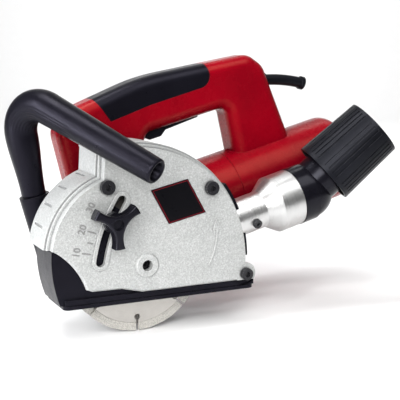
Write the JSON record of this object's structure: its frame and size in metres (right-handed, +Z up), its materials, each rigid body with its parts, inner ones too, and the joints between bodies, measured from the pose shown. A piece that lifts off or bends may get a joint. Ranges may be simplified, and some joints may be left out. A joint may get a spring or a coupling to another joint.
{
  "type": "wall chaser",
  "caption": "Twin-disc wall chaser: cutting head tilting in a sole guard, transverse motor with D-handle, front grip, depth clamp knob and swivelling dust port.",
  "frame": {"origin": "on the sole's underside, straight below the tilt pivot, midway between the two discs", "axes": "+X rearwards along the groove towards the motor's end, +Z up away from the wall, +Y to the motor's side, away from the blade cover"},
  "size_m": [0.3651, 0.192, 0.2381],
  "materials": {
    "label_black": "satin",
    "black_plastic": "matt",
    "dark_steel": "blackened",
    "silver_port": "turned",
    "black_gloss": "satin gloss",
    "black_rubber": "matt",
    "cast_alloy": "fine sand-cast, painted clear",
    "bearing_steel": "ground",
    "bronze": "machined",
    "flange_steel": "machined",
    "disc_steel": "ground core, gritty rim",
    "gear_steel": "cut",
    "lamination": "varnished stack",
    "copper": "enamelled copper",
    "carbon": "pressed carbon",
    "red_plastic": "satin",
    "soft_pad": "soft-touch",
    "sole_black": "powder coat"
  },
  "bodies": {
    "housing": {"blade_cover": "cast_alloy", "label_plate": "label_black", "rear_casing": "cast_alloy", "cover_screws": "dark_steel", "pivot_pin": "dark_steel", "pivot_nut": "dark_steel", "dust_shield": "black_plastic", "dust_port": "silver_port", "dust_port_screw": "dark_steel", "gear_housing": "cast_alloy", "gearbox_screws": "dark_steel", "bearing_flange": "cast_alloy", "front_spindle_bearing": "bearing_steel", "rear_spindle_bush": "bronze", "front_armature_bearing": "bearing_steel", "rear_armature_bearing": "bearing_steel", "stator": "lamination", "fan_baffle": "black_plastic", "motor_housing": "red_plastic", "brush_holders": "bronze", "carbon_brushes": "carbon", "near_handle_shell": "red_plastic", "far_handle_shell": "red_plastic", "grip_pad": "soft_pad", "handle_screws": "dark_steel", "handle_foot_screws": "dark_steel", "trigger_pin": "bearing_steel", "switch_module": "black_plastic", "cord_boot": "black_rubber", "front_handle": "soft_pad", "front_handle_base": "black_gloss", "front_handle_bolts": "dark_steel"},
    "cutter": {"spindle": "bearing_steel", "inner_flange": "flange_steel", "outer_flange": "flange_steel", "clamp_bolt": "dark_steel", "spacer_rings": "flange_steel", "near_disc": "disc_steel", "far_disc": "disc_steel", "crown_gear": "gear_steel"},
    "armature": {"armature_shaft": "bearing_steel", "armature_core": "lamination", "armature_windings": "copper", "commutator": "copper", "fan": "black_plastic", "pinion": "gear_steel"},
    "guard": {"guard_shell": "black_plastic", "sole_plate": "sole_black", "sole_screws": "dark_steel", "depth_bolt": "bearing_steel", "knob_washer": "bearing_steel"},
    "knob": {"depth_knob": "black_gloss", "knob_insert": "bronze"},
    "trigger_paddle": {"trigger": "black_gloss"},
    "lock_off": {"lock_off_button": "black_gloss"},
    "arbor_lock": {"spindle_lock": "black_gloss"},
    "elbow": {"dust_elbow": "black_gloss"},
    "adapter": {"hose_adapter": "black_rubber"}
  },
  "joints": [
    {"name": "cutter_spin", "type": "hinge", "parent": "housing", "child": "cutter", "pos_m": [-0.09511, 0, 0.03127], "axis": [0, 1, 0], "continuous": true},
    {"name": "armature_spin", "type": "hinge", "parent": "housing", "child": "armature", "pos_m": [-0.09511, 0.066, 0.03127], "axis": [0.9659, 0, 0.2588], "continuous": true},
    {"name": "plunge_tilt", "type": "hinge", "parent": "housing", "child": "guard", "pos_m": [0, 0, 0.014], "axis": [0, -1, 0], "range_deg": [0, 14.4]},
    {"name": "depth_clamp", "type": "hinge", "parent": "guard", "child": "knob", "pos_m": [-0.12659, -0.04, 0.07142], "axis": [0, -1, 0], "range_deg": [0, 180]},
    {"name": "trigger_squeeze", "type": "hinge", "parent": "housing", "child": "trigger_paddle", "pos_m": [-0.0101, 0.066, 0.15447], "axis": [0, 1, 0], "range_deg": [0, 6], "stiffness_Nm_per_rad": 2, "springref_deg": -8.59},
    {"name": "lock_off_press", "type": "slide", "parent": "housing", "child": "lock_off", "axis": [0, -1, 0], "range_m": [0, 0.0022], "stiffness_N_per_m": 400, "springref_m": -0.004},
    {"name": "arbor_lock_press", "type": "slide", "parent": "housing", "child": "arbor_lock", "axis": [0.9659, 0, 0.2588], "range_m": [0, 0.003], "stiffness_N_per_m": 600, "springref_m": -0.004},
    {"name": "elbow_swivel", "type": "hinge", "parent": "housing", "child": "elbow", "pos_m": [0.06845, -0.007, 0.07769], "axis": [0.9659, 0, 0.2588], "range_deg": [-25, 120]},
    {"name": "adapter_swivel", "type": "hinge", "parent": "elbow", "child": "adapter", "pos_m": [0.07759, -0.007, 0.08221], "axis": [0.6952, -0.2551, 0.6721], "continuous": true}
  ],
  "couplings": [
    {"joint": "armature_spin", "follows": "cutter_spin", "ratio": 3}
  ]
}
